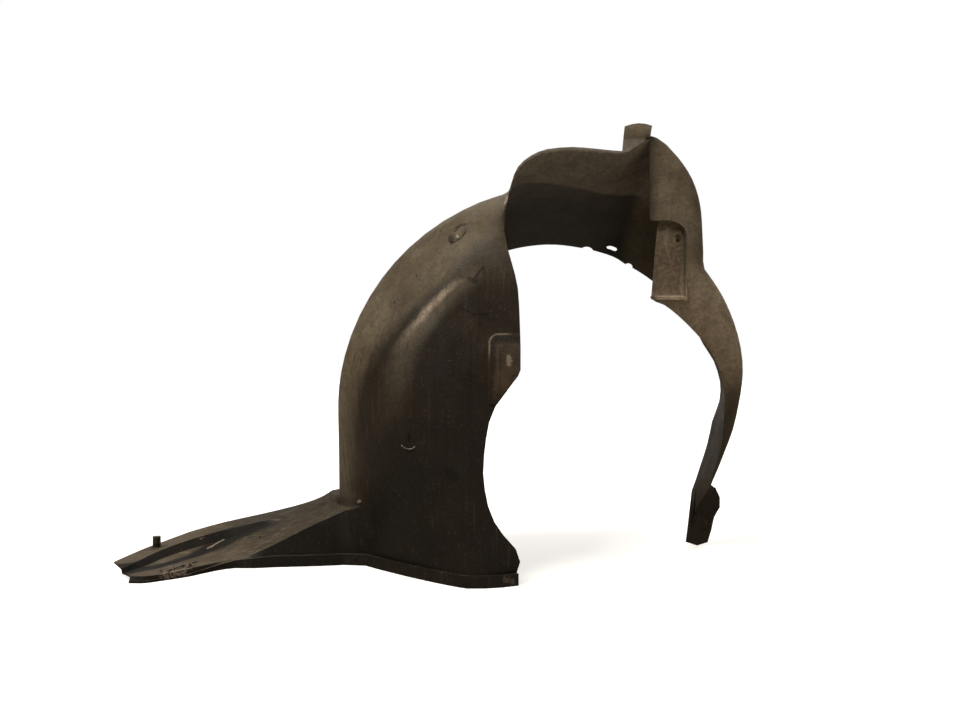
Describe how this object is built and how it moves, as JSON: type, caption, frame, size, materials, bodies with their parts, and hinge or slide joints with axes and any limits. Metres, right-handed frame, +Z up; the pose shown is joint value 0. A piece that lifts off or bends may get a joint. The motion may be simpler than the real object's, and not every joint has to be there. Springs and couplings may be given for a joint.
{
  "type": "wheel arch liner",
  "caption": "Black moulded plastic wheel arch liner with a long front shelf, a raised top and a rear foot, scuffed and dusty from use.",
  "frame": {"origin": "middle of the bounding box at the floor", "axes": "+X to the rear of the car, +Y out to the wing, +Z up"},
  "size_m": [1.125, 0.3234, 0.7723],
  "materials": {
    "liner_plastic": "matte, grained, dusty"
  },
  "bodies": {
    "root": {"liner": "liner_plastic"}
  },
  "joints": []
}
